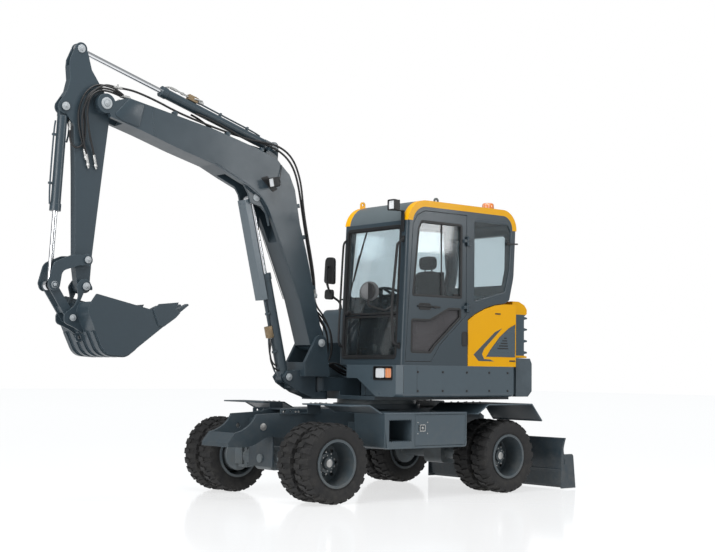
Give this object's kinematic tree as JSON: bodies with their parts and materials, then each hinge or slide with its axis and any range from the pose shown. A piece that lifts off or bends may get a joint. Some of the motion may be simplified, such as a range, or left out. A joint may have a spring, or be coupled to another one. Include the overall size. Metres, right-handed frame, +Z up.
{
  "type": "wheeled excavator",
  "caption": "Compact wheeled excavator with twin tyres, slewing cab, swinging boom, arm, toothed bucket and dozer blade.",
  "frame": {"origin": "on the ground under the centre of the slew ring", "axes": "+X forward along the chassis, +Y to the machine's left, +Z up"},
  "size_m": [5.596, 2.032, 4.0019],
  "materials": {
    "slate_paint": "satin",
    "amber_paint": "gloss",
    "axle_grey": "satin",
    "rod_chrome": "polished",
    "tyre_rubber": "matt",
    "engine_iron": "matt",
    "seat_black": "matt",
    "trim_black": "matt"
  },
  "bodies": {
    "chassis": {"chassis_frame": "slate_paint", "frame_side_left": "slate_paint", "frame_side_right": "slate_paint", "axle_hanger": "slate_paint", "bumper": "slate_paint", "slew_ring": "axle_grey", "front_axle": "axle_grey", "rear_axle": "axle_grey", "toolbox_left": "slate_paint", "toolbox_right": "slate_paint", "front_fenders": "slate_paint", "rear_fenders": "slate_paint"},
    "knuckle_left": {"knuckle_left": "axle_grey"},
    "knuckle_right": {"knuckle_right": "axle_grey"},
    "tie_rod": {"tie_rod": "axle_grey"},
    "wheel_front_left": {"tyres_front_left": "tyre_rubber", "rim_front_left": "slate_paint"},
    "wheel_front_right": {"tyres_front_right": "tyre_rubber", "rim_front_right": "slate_paint"},
    "wheel_rear_left": {"tyres_rear_left": "tyre_rubber", "rim_rear_left": "slate_paint"},
    "wheel_rear_right": {"tyres_rear_right": "tyre_rubber", "rim_rear_right": "slate_paint"},
    "blade": {"blade": "slate_paint"},
    "blade_cylinder_barrel": {"blade_cylinder_barrel": "slate_paint"},
    "blade_cylinder_rod": {"blade_cylinder_rod": "rod_chrome"},
    "toolbox_door": {"toolbox_door": "slate_paint"},
    "upper": {"upper_frame": "slate_paint", "lower_body": "slate_paint", "counterweight": "slate_paint", "side_hood": "amber_paint", "engine_block": "engine_iron", "right_body": "slate_paint", "right_hood": "slate_paint", "cab_shell": "slate_paint", "cab_roof": "slate_paint", "seat": "seat_black", "console": "trim_black", "cab_fittings": "trim_black"},
    "cab_door": {"cab_door": "slate_paint"},
    "rear_hood": {"rear_hood": "amber_paint"},
    "swing_post": {"swing_post": "slate_paint"},
    "boom": {"boom": "slate_paint"},
    "boom_cylinder_barrel": {"boom_cylinder_barrel": "slate_paint"},
    "boom_cylinder_rod": {"boom_cylinder_rod": "rod_chrome"},
    "arm": {"arm": "slate_paint"},
    "arm_cylinder_barrel": {"arm_cylinder_barrel": "slate_paint"},
    "arm_cylinder_rod": {"arm_cylinder_rod": "rod_chrome"},
    "bucket": {"bucket": "slate_paint"},
    "rocker": {"rocker": "slate_paint"},
    "bucket_link": {"bucket_link": "slate_paint"},
    "bucket_cylinder_barrel": {"bucket_cylinder_barrel": "slate_paint"},
    "bucket_cylinder_rod": {"bucket_cylinder_rod": "rod_chrome"}
  },
  "joints": [
    {"name": "steer_left", "type": "hinge", "parent": "chassis", "child": "knuckle_left", "pos_m": [1.3, 0.47, 0.365], "axis": [0, 0, 1], "range_deg": [-24, 24]},
    {"name": "steer_right", "type": "hinge", "parent": "chassis", "child": "knuckle_right", "pos_m": [1.3, -0.47, 0.365], "axis": [0, 0, 1], "range_deg": [-24, 24]},
    {"name": "tie_rod_pivot", "type": "hinge", "parent": "knuckle_left", "child": "tie_rod", "pos_m": [1.07, 0.47, 0.32], "axis": [0, 0, 1], "range_deg": [-24, 24]},
    {"name": "wheel_front_left_spin", "type": "hinge", "parent": "knuckle_left", "child": "wheel_front_left", "pos_m": [1.3, 0.77, 0.365], "axis": [0, 1, 0], "continuous": true},
    {"name": "wheel_front_right_spin", "type": "hinge", "parent": "knuckle_right", "child": "wheel_front_right", "pos_m": [1.3, -0.77, 0.365], "axis": [0, 1, 0], "continuous": true},
    {"name": "wheel_rear_left_spin", "type": "hinge", "parent": "chassis", "child": "wheel_rear_left", "pos_m": [-0.9, 0.77, 0.365], "axis": [0, 1, 0], "continuous": true},
    {"name": "wheel_rear_right_spin", "type": "hinge", "parent": "chassis", "child": "wheel_rear_right", "pos_m": [-0.9, -0.77, 0.365], "axis": [0, 1, 0], "continuous": true},
    {"name": "blade_lift", "type": "hinge", "parent": "chassis", "child": "blade", "pos_m": [-1.29, 0, 0.52], "axis": [0, 1, 0], "range_deg": [-12, 30]},
    {"name": "blade_cylinder_pivot", "type": "hinge", "parent": "chassis", "child": "blade_cylinder_barrel", "pos_m": [-1.19, 0, 0.76], "axis": [0, 1, 0], "range_deg": [-30, 40]},
    {"name": "blade_rod_slide", "type": "slide", "parent": "blade_cylinder_barrel", "child": "blade_cylinder_rod", "axis": [-0.7877, 0, -0.616], "range_m": [-0.2, 0.1]},
    {"name": "slew", "type": "hinge", "parent": "chassis", "child": "upper", "pos_m": [0, 0, 0.9], "axis": [0, 0, 1], "continuous": true},
    {"name": "cab_door_hinge", "type": "hinge", "parent": "upper", "child": "cab_door", "pos_m": [-0.3, 1.009, 2], "axis": [0, 0, 1], "range_deg": [0, 160]},
    {"name": "rear_hood_hinge", "type": "hinge", "parent": "upper", "child": "rear_hood", "pos_m": [-1.003, 0, 1.936], "axis": [0, 1, 0], "range_deg": [0, 60]},
    {"name": "toolbox_door_hinge", "type": "hinge", "parent": "chassis", "child": "toolbox_door", "pos_m": [-0.266, 0.991, 0.65], "axis": [0, 0, 1], "range_deg": [0, 110]},
    {"name": "boom_swing", "type": "hinge", "parent": "upper", "child": "swing_post", "pos_m": [0.754, 0, 1.06], "axis": [0, 0, 1], "range_deg": [-55, 70]},
    {"name": "boom_lift", "type": "hinge", "parent": "swing_post", "child": "boom", "pos_m": [0.851, 0, 1.463], "axis": [0, -1, 0], "range_deg": [-80, 18]},
    {"name": "boom_cylinder_pivot", "type": "hinge", "parent": "swing_post", "child": "boom_cylinder_barrel", "pos_m": [1.186, 0, 1.132], "axis": [0, -1, 0], "range_deg": [-90, 30]},
    {"name": "boom_rod_slide", "type": "slide", "parent": "boom_cylinder_barrel", "child": "boom_cylinder_rod", "axis": [0.2375, 0, 0.9714], "range_m": [-0.65, 0.2]},
    {"name": "arm_swing", "type": "hinge", "parent": "boom", "child": "arm", "pos_m": [3.222, 0, 3.487], "axis": [0, 1, 0], "range_deg": [-85, 20]},
    {"name": "arm_cylinder_pivot", "type": "hinge", "parent": "boom", "child": "arm_cylinder_barrel", "pos_m": [1.372, 0, 3.327], "axis": [0, 1, 0], "range_deg": [-10, 10]},
    {"name": "arm_rod_slide", "type": "slide", "parent": "arm_cylinder_barrel", "child": "arm_cylinder_rod", "axis": [0.9579, 0, 0.2873], "range_m": [-0.7, 0.2]},
    {"name": "bucket_curl", "type": "hinge", "parent": "arm", "child": "bucket", "pos_m": [3.356, 0, 1.888], "axis": [0, 1, 0], "range_deg": [-125, 40]},
    {"name": "rocker_pivot", "type": "hinge", "parent": "arm", "child": "rocker", "pos_m": [3.357, 0, 2.115], "axis": [0, 1, 0], "range_deg": [-100, 40]},
    {"name": "link_pivot", "type": "hinge", "parent": "bucket", "child": "bucket_link", "pos_m": [3.476, 0, 1.617], "axis": [0, 1, 0], "range_deg": [-40, 100]},
    {"name": "bucket_cylinder_pivot", "type": "hinge", "parent": "arm", "child": "bucket_cylinder_barrel", "pos_m": [3.574, 0, 3.423], "axis": [0, 1, 0], "range_deg": [-10, 10]},
    {"name": "bucket_rod_slide", "type": "slide", "parent": "bucket_cylinder_barrel", "child": "bucket_cylinder_rod", "axis": [0.0547, 0, -0.9985], "range_m": [-0.6, 0.25]}
  ],
  "couplings": [
    {"joint": "steer_right", "follows": "steer_left", "ratio": 1},
    {"joint": "tie_rod_pivot", "follows": "steer_left", "ratio": -1},
    {"joint": "blade_cylinder_pivot", "follows": "blade_lift", "ratio": 0.58},
    {"joint": "blade_rod_slide", "follows": "blade_lift", "m_per_rad": -0.149},
    {"joint": "boom_cylinder_pivot", "follows": "boom_lift", "ratio": 1},
    {"joint": "boom_rod_slide", "follows": "boom_lift", "m_per_rad": 0.418},
    {"joint": "arm_cylinder_pivot", "follows": "arm_swing", "ratio": 0.03},
    {"joint": "arm_rod_slide", "follows": "arm_swing", "m_per_rad": 0.43},
    {"joint": "rocker_pivot", "follows": "bucket_curl", "ratio": 0.79},
    {"joint": "link_pivot", "follows": "bucket_curl", "ratio": -0.68},
    {"joint": "bucket_cylinder_pivot", "follows": "bucket_curl", "ratio": 0.005},
    {"joint": "bucket_rod_slide", "follows": "bucket_curl", "m_per_rad": 0.246}
  ]
}
